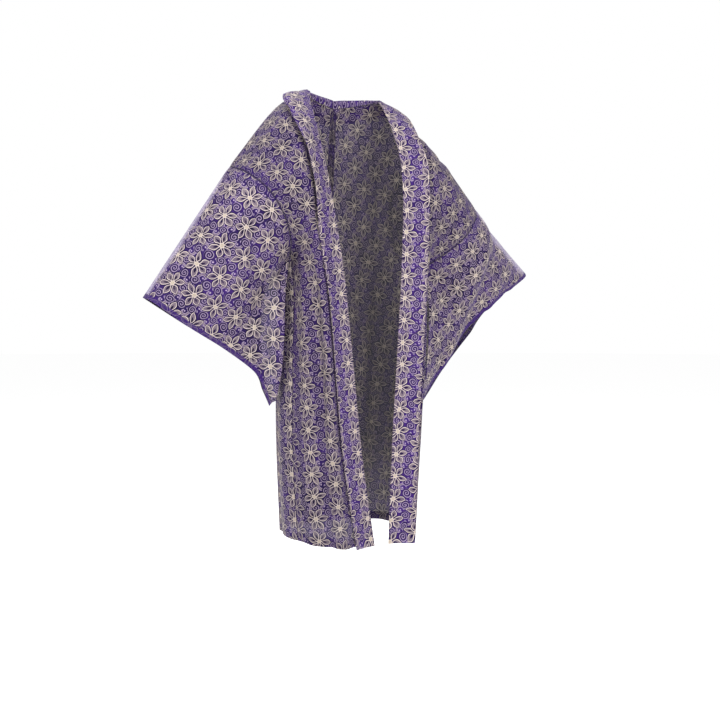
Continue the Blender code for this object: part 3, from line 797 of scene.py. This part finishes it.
class Term:
    """A number in a material, so that the pattern can be written as arithmetic."""
    tree = None

    def __init__(self, source):
        self.source = source

    def join(self, operation, *others, clamp=False):
        node = added("Math", self, *others, operation=operation, use_clamp=clamp)
        return Term(node.outputs[0])

    __add__ = partialmethod(join, "ADD")
    __sub__ = partialmethod(join, "SUBTRACT")
    __mul__ = partialmethod(join, "MULTIPLY")
    __truediv__ = partialmethod(join, "DIVIDE")
    __abs__ = partialmethod(join, "ABSOLUTE")
    least = partialmethod(join, "MINIMUM")
    most = partialmethod(join, "MAXIMUM")
    floor = partialmethod(join, "FLOOR")
    fract = partialmethod(join, "FRACT")
    power = partialmethod(join, "POWER")
    root = partialmethod(join, "SQRT")
    sine = partialmethod(join, "SINE")
    cosine = partialmethod(join, "COSINE")
    angle_over = partialmethod(join, "ARCTAN2")
    sign = partialmethod(join, "SIGN")
    pingpong = partialmethod(join, "PINGPONG")

    def __rsub__(self, number):
        return Term(number).join("SUBTRACT", self)

    def limited(self):
        """This number, kept between 0 and 1."""
        return self.most(0.0).least(1.0)

    def centred(self, pitch):
        """Distance from the middle of the repeat that this number of pitches lies in."""
        return (self.fract() - 0.5) * pitch

    def arch(self):
        """Half a wave: 0 at 0 and at 1, and 1 halfway."""
        return (self * math.pi).sine()

    def inside(self, softness=EDGE_SOFTNESS):
        """1 where this distance is above 0, 0 where below, with a soft step between."""
        return self.join("MULTIPLY_ADD", 1.0 / softness, 0.5, clamp=True)

    def outlined(self, width=THIN_OUTLINE):
        """Masks of the shape that this distance lies inside of, and of its outline."""
        shape = self.inside()
        return shape, shape - (self - width).inside()


def hypot(x, y):
    return (x * x + y * y).root()


def angle(x, y):
    return y.angle_over(x)


def mixed(factor, low, high, blend="MIX"):
    """Colour between low and high, each a colour tuple or an output."""
    node = added("Mix", factor, data_type="RGBA", blend_type=blend)
    put(low, node.inputs[6])
    put(high, node.inputs[7])
    return node.outputs[2]


def noise(u, v, scale, detail=2.0):
    """Smooth noise over the flat cloth: three numbers of about 0..1."""
    node = added("TexNoise", noise_dimensions="2D")
    place = added("CombineXYZ", u, v).outputs[0]
    put_all(node, {"Vector": place, "Scale": scale, "Detail": detail})
    return [Term(part) for part in added("SeparateColor", node.outputs["Color"]).outputs]


def flower(x, y, spin, parity):
    """Six pointed petals with a slit each, and a round heart: fill, line, heart and halo."""
    r = hypot(x, y)
    sector = 2.0 * math.pi / PETALS
    theta = angle(x, y) + spin + (2.0 * math.pi + sector * 0.5)
    number = (theta / sector).floor()
    local = theta - number * sector - sector * 0.5
    vary = (number * 2.4 + parity * 1.3).sine()
    along = r * local.cosine()
    aside = abs(r * local.sine())
    length = vary * LENGTH_VARY + (PETAL_END - PETAL_START)
    share = ((along - PETAL_START) / length).limited()
    bulge = share.power(1.15).arch().power(0.85)
    edge = bulge * (vary * WIDTH_VARY + PETAL_HALF_WIDTH) - aside
    petal, rim = edge.outlined(OUTLINE)
    slit_share = ((along - SLIT_START) / SLIT_LENGTH).limited()
    slit = (slit_share.arch() * SLIT_HALF_WIDTH - aside).inside()
    heart, heart_rim = (HEART_RADIUS - r).outlined()
    near = (PETAL_END + 2.0 - r).inside(2.0)
    halo = (edge + HALO).inside(0.8) * near
    return (petal - slit * petal).most(heart), rim.most(heart_rim), heart, halo


def crescent(x, y, radius, bite_x, bite_y, bite_radius):
    """A disc with a round bite out of it: fill and line masks."""
    bite = hypot(x - bite_x, y - bite_y) - bite_radius
    return (radius - hypot(x, y)).least(bite).outlined()


def spiral(x, y):
    """A thread that winds outwards from the middle of a disc: masks of both."""
    r = hypot(x, y)
    arm = (r / SPIRAL_PITCH - angle(x, y) / (2.0 * math.pi)).fract() - 0.5
    disc = (SPIRAL_RADIUS - r).inside(0.8)
    return (SPIRAL_HALF_WIDTH - abs(arm) * SPIRAL_PITCH).inside(0.5) * disc, disc


def curl(x, y):
    """A leaf that winds inwards once, a bud in it, a tendril and two small leaves beside
    it: fill and line masks."""
    r = hypot(x, y)
    t = (angle(x, y) / (2.0 * math.pi) + 0.85).fract()
    half_width = t.arch() * 2.1 + 0.5
    leaf, rim = (half_width - abs(r - CURL_START - t * CURL_GROWTH)).outlined()
    bud = (BUD_RADIUS - r).inside()
    low, low_rim = crescent(x + 6.5, y + 13.0, 6.6, 2.6, 1.4, 4.6)
    high, high_rim = crescent(x - 10.5, y - 8.5, 6.0, -1.8, 2.2, 4.2)
    ring = abs(hypot(x - 10.0, y + 6.5) - TENDRIL_RADIUS)
    tendril = (TENDRIL_HALF_WIDTH - ring).inside() * (x - 5.5).inside()
    line = rim.most(bud).most(low_rim).most(high_rim).most(tendril)
    return leaf.most(low).most(high), line


def pattern_masks(u, v, shift):
    """Masks at a flat place in mm of the half-drop repeat of flowers and curls: fill,
    flower outlines, threads of the curls, hearts, and darker ground beside them."""
    warp = noise(u, v, WARP_SCALE)
    x = u + (warp[0] - 0.5) * WARP + shift[0]
    y = v + (warp[1] - 0.5) * WARP + shift[1]
    over = x / COLUMN_PITCH
    column = over.floor()
    parity = column.pingpong(1.0)
    down = y / FLOWER_PITCH + parity * 0.5
    local_x = over.centred(COLUMN_PITCH)
    spin = (column * 2.3 + down.floor() * 1.7).sine() * FLOWER_TURN
    fill, line, heart, halo = flower(local_x, down.centred(FLOWER_PITCH), spin, parity)

    gap_y = (down + 0.5).centred(FLOWER_PITCH)
    side = local_x.sign()
    curl_fill, curl_line = curl(abs(local_x) - CURL_PLACE, gap_y * side)
    clear = (1.0 - fill) * (1.0 - line) * (1.0 - halo * 0.8)
    thread, disc = spiral(local_x * (1.0 - parity * 2.0), gap_y)
    # and one at each side, where the petals of four flowers leave a hole
    half_pitch = FLOWER_PITCH / 2.0
    row = y / half_pitch
    way = row.floor().pingpong(1.0) * 2.0 - 1.0
    hole_x = (over + 0.5).centred(COLUMN_PITCH)
    hole_thread, hole_disc = spiral(hole_x * way, row.centred(half_pitch))
    disc = disc.most(hole_disc)
    curl_clear = clear * (1.0 - disc)
    thread = (curl_line * curl_clear).most(thread.most(hole_thread) * clear * 0.8)
    return (fill.most(curl_fill * curl_clear), line, thread, heart,
            halo.most(disc * clear * 0.7))


def map_terms(uv_map):
    """Both coordinates of a UV map, in millimetres."""
    parts = added("SeparateXYZ", added("UVMap", uv_map=uv_map).outputs[0]).outputs
    return [Term(part) * 1000.0 for part in parts[:2]]


def cloth_material(name, ground_share, shift, brightness=1.0, bare=0.0, thin_fold=0.0,
                   size=1.0, lift=0.0):
    """Sheer patterned cloth. ground_share is how much of what is behind the ground it
    hides, bare how far the pattern fades out, thin_fold the width in mm beside a free
    fold where the cloth hides less and is painted paler, standing in for light shining
    through one layer with nothing dark inside it, and lift how much more of the ground
    is light."""
    material = bpy.data.materials.new(name)
    material.use_nodes = True
    Term.tree = material.node_tree
    u, v = map_terms(FLAT_MAP)
    fold_mark, seam_mark = map_terms(MARK_MAP)
    from_seam = abs(seam_mark)
    seam_shadow_line = (SEAM_LINE - from_seam).inside(1.6)
    seam_band = (SEAM_BAND - from_seam).inside(1.5)
    from_cuff = CUFF_MARK * 1000.0 - seam_mark
    cuff_band = (CUFF_STRIPE - abs(from_cuff)).inside(1.5)

    fill, line, thread, heart, halo = pattern_masks(u / size, v / size, shift)
    soft = noise(u, v, 0.011)
    threads_along = noise(u * 1.6, v * 0.05, 1.0, 3.0)[0]
    threads_across = noise(u * 0.05, v * 1.6, 1.0, 3.0)[0]
    slub = (threads_along + threads_across - 1.0) * 0.5 + 0.5

    patches = ((soft[0] - 0.5) * 2.6 + (0.5 + lift)).limited()
    ground = mixed(patches, GROUND, GROUND_LIGHT)
    ground = mixed((slub - 0.35) * 0.8, ground, GROUND_LIGHT)
    ground = mixed(halo * 0.72, ground, GROUND_DEEP)
    ground = mixed(seam_band.most(cuff_band * 2.0) * 0.45, ground, GROUND_LIGHT)
    motif = mixed(soft[1] * 0.35, FILL, LINE)
    motif = mixed(heart * 0.6, motif, HEART)
    shown = (1.0 - seam_band * 0.30) * (1.0 - bare) * (1.0 - cuff_band * 0.85)
    colour = mixed(fill * shown * 0.93, ground, motif)
    colour = mixed(thread * shown * 0.95, colour, THREAD)
    colour = mixed(line * shown * 0.95, colour, LINE)
    # painted shadow: a dark line along each seam, standing in for shade in the seam's dip
    colour = mixed(seam_shadow_line * 0.80, colour, SEAM_SHADE)
    near = Term(0.0)
    # painted light: beside a sleeve's free fold the colour turns pale, standing in for light
    # shining through one layer; the cloth also hides less there
    if thin_fold:
        uneven = soft[2] * 0.9 + 0.55
        near = 1.5 - abs(fold_mark) / (uneven * thin_fold)
        near = near.join("MULTIPLY", 1.2, clamp=True) * (1.0 - cuff_band)
        colour = mixed(near * 0.62, colour, PAINTED_BACKLIGHT)
    # painted light and shade: brightness scales each piece's colour, lower for pieces lying in
    # shade
    dim, bright = [(level * brightness,) * 3 for level in SHADE_RANGE]
    shade = mixed(slub * 0.5 + 0.25, dim, bright)

    motif_mask = fill.most(line).most(thread)
    share = ground_share - near * (ground_share - THIN_SHARE)
    motif_share = (share + MOTIF_SHARE).least(MOST_SHARE)
    # threads cross over and under each other, and the motif stands a little proud
    weave = (u * WEAVE_TURNS).sine() * (v * WEAVE_TURNS).sine()
    relief = added("Bump")
    put_all(relief, {"Strength": 0.35, "Distance": 0.001,
                     "Height": weave * 0.02 + motif_mask * 0.10 + slub * 0.06})
    put_all(material.node_tree.nodes["Principled BSDF"], {
        "Base Color": mixed(1.0, colour, shade, "MULTIPLY"),
        "Alpha": share + (motif_share - share) * motif_mask,
        "Normal": relief.outputs[0],
        "Roughness": slub * 0.12 + 0.62 - motif_mask * 0.12,
        "Sheen Weight": 0.04,
        "Sheen Roughness": 0.45,
        "Sheen Tint": SHEEN,
        "Specular IOR Level": 0.08,
    })
    return material


# brightness paints light and shade per piece: body panels and gussets darker, as in shade between
# sleeves and collar; sleeves and collar lighter, as lit
cloths = {
    "body": cloth_material("body_sheer", 0.97, (6.0, 10.0), brightness=0.58),
    "sleeve": cloth_material("sleeve_sheer", 0.95, (14.0, 4.0), brightness=0.76, thin_fold=17.0,
                             size=0.92),
    "gusset": cloth_material("gusset_sheer", 0.96, (20.0, 0.0), brightness=0.62),
    "collar": cloth_material("collar_doubled", 0.98, (15.0, 6.0), brightness=0.80, lift=0.6),
    "hem": cloth_material("turned_hem", 0.95, (0.0, 0.0), bare=0.5, brightness=0.55),
    "cuff_hem": cloth_material("turned_cuff_hem", 0.96, (0.0, 0.0), bare=0.85, brightness=0.75),
    "allowance": cloth_material("seam_allowance", 0.80, (0.0, 0.0), bare=0.6, brightness=0.55),
}


# ---- pieces ----
def dressed_half(half, flat, creases, outward, steady):
    """A half panel with its creases and its seams, and its normals; steady is the flat
    width along both long edges where creases fade out."""
    normals = outward_normals(half, outward)
    heights = []
    for places in flat:
        line = []
        for u, v in places:
            from_seam = places[-1][0] - u
            fade = smooth_ramp(from_seam, 0.0, steady)
            fade *= smooth_ramp(u - places[0][0], 0.0, steady)
            fade *= smooth_ramp(abs(v), 0.0, STEADY_SHOULDER)
            line.append(fade * crease_height(u, abs(v), creases) + seam_dip(from_seam))
        heights.append(line)
    return raised(half, normals, heights), normals


def build_body(name, side, tables):
    front, back = body_grids(*tables, side)
    front_flat, back_flat = body_flat(front, back)
    front_new, front_normals = dressed_half(front, front_flat, FRONT_CREASES[name], side,
                                            STEADY_FRONT)
    back_new, back_normals = dressed_half(back, back_flat, BACK_CREASES[name], -side, STEADY_BACK)
    grid = panel_grid(front_new, back_new, side)
    flat = unfolded(grid, front_flat[::-1] + back_flat[1:])
    normals = front_normals[::-1] + back_normals[1:]
    shoulder = len(front) - 1
    nape = shoulder + NAPE_STEPS
    marks = []
    for i, row in enumerate(grid):
        lengths = running_lengths(row)
        marks.append([(1.0, min(lengths[-1] - place, place if i >= nape else 1.0))
                      for place in lengths])
    piece = cloth_piece("shell_body_" + name, [(grid, flat)], "body", marks)

    strips = [turned_edge(grid, flat, normals, hem_lines(grid, at_start), HEM_DEPTH)
              for at_start in (True, False)]
    hem = cloth_piece("hem_body_" + name, strips, "hem")
    # allowances: pressed to the body along the sleeve seam, and at the centre back
    seam = [[(i, -1 - j) for j in range(ALLOWANCE_COLUMNS)]
            for i in range(shoulder - ARMHOLE_STEPS, shoulder + ARMHOLE_STEPS + 1)]
    centre = [[(i, j) for j in range(ALLOWANCE_COLUMNS)] for i in range(nape, len(grid))]
    strips = [turned_edge(grid, flat, normals, lines, ALLOWANCE) for lines in (seam, centre)]
    allowance = cloth_piece("allowance_body_" + name, strips, "allowance")
    return front, back


def build_sleeve(name, side, front, back, furi, cuff, folds):
    rings = sleeve_grid(front, back, furi, cuff, folds, side)
    turn = len(rings[0]) // 2
    rings = [ring[turn:] + ring[:turn + 1] for ring in rings]
    guess = sleeve_flat(rings)
    normals = outward_normals(rings, -side)
    heights = []
    for k, places in enumerate(guess):
        f = k / SLEEVE_STEPS
        line = []
        for j, (u, v) in enumerate(places):
            depth_share = abs(j - turn) / turn
            fade = smooth_ramp(f, 0.0, STEADY_SLEEVE) * smooth_ramp(depth_share, 0.0, STEADY_SLEEVE)
            fade *= 1.0 - smooth_ramp(depth_share, 1.0 - STEADY_SLEEVE, 1.0)
            line.append(fade * crease_height(u, v, SLEEVE_CREASES[name]) + seam_dip(f * 0.3))
        heights.append(line)
    rings = raised(rings, normals, heights)
    flat = unfolded(rings, guess)
    columns = [running_lengths(column) for column in zip(*rings)]
    strip_place, narrowness = FREE_LINES[name]
    marks = []
    for k, ring in enumerate(rings):
        f = k / SLEEVE_STEPS
        around = running_lengths(ring)
        line = []
        for j, column in enumerate(columns):
            from_line = around[j] - around[turn] - strip_place * (1.0 - f)
            from_line = abs(from_line) * narrowness * (1.0 if from_line > 0.0 else BACK_STRIP)
            from_line += STRIP_START * (1.0 - smooth_ramp(f, 0.0, STRIP_START_REACH))
            from_cuff = column[-1] - column[k]
            from_armhole = column[k] if abs(j - turn) <= ARMHOLE_STEPS else 1.0
            at_cuff = from_cuff < CUFF_MARK_REACH
            line.append((from_line, CUFF_MARK - from_cuff if at_cuff else from_armhole))
        marks.append(line)
    piece = cloth_piece("shell_sleeve_" + name, [(rings, flat)], "sleeve", marks)
    strips = [turned_edge(rings, flat, normals, hem_lines(rings), CUFF_HEM_DEPTH)]
    hem = cloth_piece("hem_sleeve_" + name, strips, "cuff_hem")


def tucked(grid, normals):
    """The grid with its two long edges carried a little way in under its neighbours."""
    rows = []
    for row, outward in zip(grid, normals):
        row = list(row)
        for edge, inner in ((0, 1), (-1, -2)):
            way = (row[edge] - row[inner]).normalized()
            row[edge] = row[edge] + way * TUCK_REACH - outward[edge] * TUCK_DEPTH
        rows.append(row)
    return rows


def build_gusset(name, side, front, back):
    grid = gusset_grid(front, back, side)
    grid = tucked(grid, outward_normals(grid, side))
    down = running_lengths([row[0] for row in grid])
    flat = [[(place, down[i]) for place in running_lengths(row)] for i, row in enumerate(grid)]
    piece = cloth_piece("shell_gusset_" + name, [(grid, flat)], "gusset")
    strips = [turned_edge(grid, flat, outward_normals(grid, side), hem_lines(grid), HEM_DEPTH)]
    hem = cloth_piece("hem_gusset_" + name, strips, "hem")


def collar_half(side, front, back):
    """Collar sections down one chest, and round that half of the nape."""
    shifted = [[shifted_to_side(point, side) for point in row] for row in front]
    chest = [chest_section(shifted, i, side) for i in range(1, len(front))]
    nape = [nape_section(back[i][0], i / NAPE_STEPS) for i in range(NAPE_STEPS + 1)]
    return chest, nape


def build_collar(right_half, left_half):
    right_chest, right_nape = right_half
    left_chest, left_nape = left_half
    grid = right_chest[::-1] + right_nape + left_nape[-2::-1] + left_chest
    along = running_lengths([row[COLLAR_STEPS // 2] for row in grid])
    middle = along[len(right_chest) + len(right_nape) - 1]
    guess = [[(place, along[i] - middle) for place in running_lengths(row)]
             for i, row in enumerate(grid)]
    sheet = (grid, unfolded(grid, guess))
    piece = cloth_piece("shell_collar", [sheet], "collar")


def build_side(name, side, tables, furi, cuff, folds):
    """Body panel, sleeve and gusset of one side; gives that side's half of the collar."""
    front, back = build_body(name, side, tables)
    build_sleeve(name, side, front, back, furi, cuff, folds)
    build_gusset(name, side, front, back)
    return collar_half(side, front, back)


build_collar(
    build_side("right", -1, (RIGHT_FRONT, RIGHT_BACK), RIGHT_FURI, RIGHT_CUFF, RIGHT_SLEEVE_FOLDS),
    build_side("left", 1, (LEFT_FRONT, LEFT_BACK), LEFT_FURI, LEFT_CUFF, LEFT_SLEEVE_FOLDS))


# ---- floor, light and camera ----
FLOOR_HEIGHT = -1.34
FLOOR_RADIUS = 30.0
LIGHT_TARGET = (0.0, 0.0, -0.5)
CAMERA_AZIMUTH = math.radians(-30.0)
CAMERA_DISTANCE = 2.0
CAMERA_HEIGHT = -0.53
CAMERA_LENS = 44.35
CAMERA_SENSOR = 36.0
CAMERA_SHIFT = (0.00694, -0.04167)


def make_floor():
    mesh = bpy.data.meshes.new("floor")
    form = bmesh.new()
    bmesh.ops.create_circle(form, cap_ends=True, radius=FLOOR_RADIUS, segments=96)
    form.to_mesh(mesh)
    form.free()
    paint = bpy.data.materials.new("pale_floor")
    paint.use_nodes = True
    put_all(paint.node_tree.nodes["Principled BSDF"], {
        "Base Color": (0.985, 0.985, 0.985), "Roughness": 1.0, "Specular IOR Level": 0.0})
    mesh.materials.append(paint)
    floor = added_object("floor", mesh)
    floor.location.z = FLOOR_HEIGHT


def make_light(name, place, size, power):
    lamp = bpy.data.lights.new(name, "AREA")
    lamp.shape = "DISK"
    lamp.size = size
    lamp.energy = power
    light = added_object(name, lamp)
    light.location = place
    way = Vector(LIGHT_TARGET) - Vector(place)
    light.rotation_euler = way.to_track_quat("-Z", "Y").to_euler()


def make_world():
    world = bpy.data.worlds.new("studio")
    bpy.context.scene.world = world
    world.use_nodes = True
    put_all(world.node_tree.nodes["Background"], {"Color": (1.0, 1.0, 1.0), "Strength": 1.0})


def make_camera():
    lens = bpy.data.cameras.new("camera")
    lens.lens = CAMERA_LENS
    lens.sensor_width = CAMERA_SENSOR
    lens.shift_x, lens.shift_y = CAMERA_SHIFT
    camera = added_object("camera", lens)
    back = Vector((math.sin(CAMERA_AZIMUTH), -math.cos(CAMERA_AZIMUTH), 0.0))
    camera.location = Vector((0.0, 0.0, CAMERA_HEIGHT)) + back * CAMERA_DISTANCE
    camera.rotation_euler = back.to_track_quat("Z", "Y").to_euler()
    bpy.context.scene.camera = camera


make_floor()
make_world()
make_light("key", (-2.4, -1.2, 1.8), 1.2, 74.0)
make_light("fill", (-0.2, -3.0, 0.8), 1.6, 56.0)
make_light("back", (0.8, 2.6, 1.6), 1.6, 50.0)
make_camera()
bpy.context.scene.view_settings.view_transform = "Standard"
